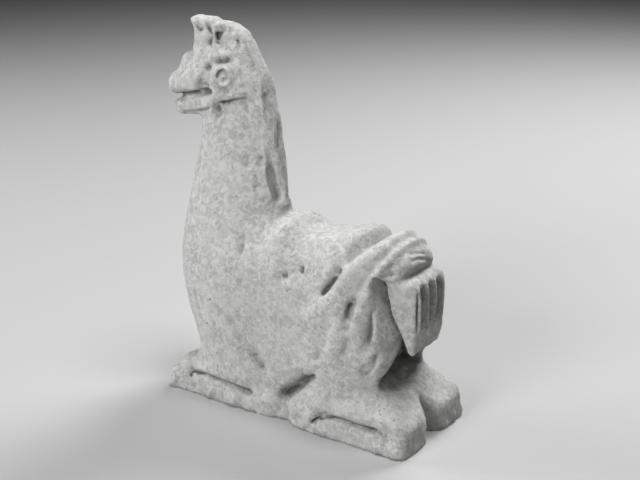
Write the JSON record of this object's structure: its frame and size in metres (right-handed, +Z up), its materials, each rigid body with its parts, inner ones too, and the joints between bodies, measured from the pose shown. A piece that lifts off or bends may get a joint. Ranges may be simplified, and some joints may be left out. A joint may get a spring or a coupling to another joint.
{
  "type": "inca llama figure",
  "caption": "Resting llama carved from one block of grey stone, neck upright, legs folded under it, with a crest, a ringed eye and a fluted hanging tail.",
  "frame": {"origin": "centre of the flat underside, where the figure rests", "axes": "+Z up; the llama faces -X, with its left flank towards -Y"},
  "size_m": [0.1238, 0.0474, 0.15],
  "materials": {
    "stone": "matt, fine-grained and mottled, edges worn soft"
  },
  "bodies": {
    "root": {"llama": "stone"}
  },
  "joints": []
}
